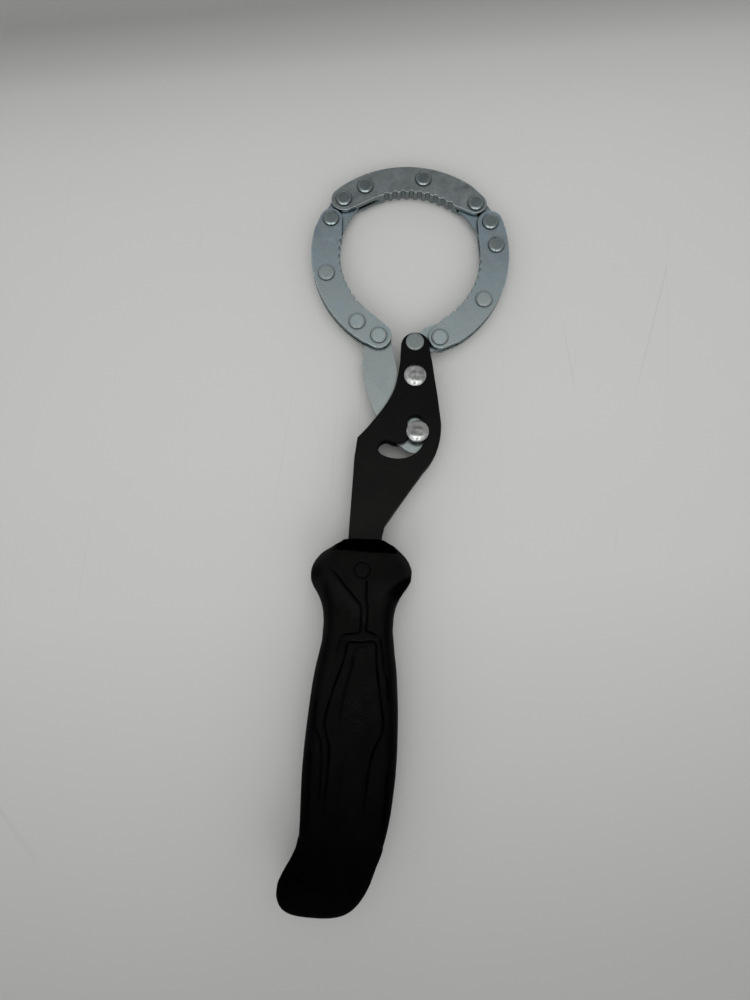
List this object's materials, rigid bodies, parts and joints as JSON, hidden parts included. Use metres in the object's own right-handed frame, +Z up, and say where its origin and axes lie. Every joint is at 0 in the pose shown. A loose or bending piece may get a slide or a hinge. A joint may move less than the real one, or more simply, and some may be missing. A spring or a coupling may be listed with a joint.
{
  "type": "filter wrench",
  "caption": "Swivel-jaw filter wrench: a ring of toothed hinged jaws, tightened by a slotted steel handle with a moulded grip.",
  "frame": {"origin": "bottom centre of the bounding box, with the tool lying flat", "axes": "+Y along the grip towards the ring, +Z up out of the front faces of the plates, +X to the right seen from the front"},
  "size_m": [0.0846, 0.3058, 0.0252],
  "materials": {
    "grip": "matte",
    "black_steel": "satin",
    "zinc_plate": "satin",
    "zinc_rivet": "satin",
    "polished_rivet": "polished"
  },
  "bodies": {
    "handle": {"grip": "grip", "handle_front_plate": "black_steel", "handle_back_plate": "black_steel", "nose_pivot_rivet": "zinc_rivet", "spacer_rivet": "polished_rivet", "spacer_collar": "zinc_plate", "tang_spacer": "black_steel"},
    "nose_link": {"nose_link": "zinc_plate"},
    "right_jaw": {"right_jaw_front_plate": "zinc_plate", "right_jaw_back_plate": "zinc_plate", "right_jaw_core": "zinc_plate", "right_jaw_fixed_rivets": "zinc_rivet", "right_jaw_pivot_rivets": "zinc_rivet"},
    "right_link": {"right_link": "zinc_plate"},
    "top_jaw": {"top_jaw_front_plate": "zinc_plate", "top_jaw_back_plate": "zinc_plate", "top_jaw_core": "zinc_plate", "top_jaw_fixed_rivets": "zinc_rivet", "top_jaw_pivot_rivets": "zinc_rivet"},
    "left_link": {"left_link": "zinc_plate"},
    "left_jaw": {"left_jaw_front_plate": "zinc_plate", "left_jaw_back_plate": "zinc_plate", "left_jaw_core": "zinc_plate", "left_jaw_fixed_rivets": "zinc_rivet", "left_jaw_pivot_rivets": "zinc_rivet"},
    "arm": {"arm": "zinc_plate", "slot_pin": "polished_rivet"}
  },
  "joints": [
    {"name": "nose_hinge", "type": "hinge", "parent": "handle", "child": "nose_link", "pos_m": [0.00433, 0.07168, 0.0122], "axis": [0, 0, 1], "range_deg": [-0.47, 2.9]},
    {"name": "right_jaw_hinge", "type": "hinge", "parent": "nose_link", "child": "right_jaw", "pos_m": [0.01463, 0.07492, 0.0122], "axis": [0, 0, 1], "range_deg": [-13.7, 2.24]},
    {"name": "right_link_hinge", "type": "hinge", "parent": "right_jaw", "child": "right_link", "pos_m": [0.03361, 0.12884, 0.0122], "axis": [0, 0, 1], "range_deg": [-1.31, 8]},
    {"name": "top_jaw_hinge", "type": "hinge", "parent": "right_link", "child": "top_jaw", "pos_m": [0.02692, 0.13732, 0.0122], "axis": [0, 0, 1], "range_deg": [-1.31, 8]},
    {"name": "left_link_hinge", "type": "hinge", "parent": "top_jaw", "child": "left_link", "pos_m": [-0.03022, 0.13561, 0.0122], "axis": [0, 0, 1], "range_deg": [-0.64, 3.9]},
    {"name": "left_jaw_hinge", "type": "hinge", "parent": "left_link", "child": "left_jaw", "pos_m": [-0.03501, 0.12593, 0.0122], "axis": [0, 0, 1], "range_deg": [-38, 6.2]},
    {"name": "arm_hinge", "type": "hinge", "parent": "left_jaw", "child": "arm", "pos_m": [-0.01096, 0.07407, 0.0122], "axis": [0, 0, 1], "range_deg": [-7.49, 45.9]}
  ],
  "couplings": [
    {"joint": "nose_hinge", "follows": "left_jaw_hinge", "ratio": -0.076316},
    {"joint": "right_jaw_hinge", "follows": "left_jaw_hinge", "ratio": 0.36053},
    {"joint": "right_link_hinge", "follows": "left_jaw_hinge", "ratio": -0.21053},
    {"joint": "top_jaw_hinge", "follows": "left_jaw_hinge", "ratio": -0.21053},
    {"joint": "left_link_hinge", "follows": "left_jaw_hinge", "ratio": -0.10263},
    {"joint": "arm_hinge", "follows": "left_jaw_hinge", "ratio": -1.2079}
  ]
}
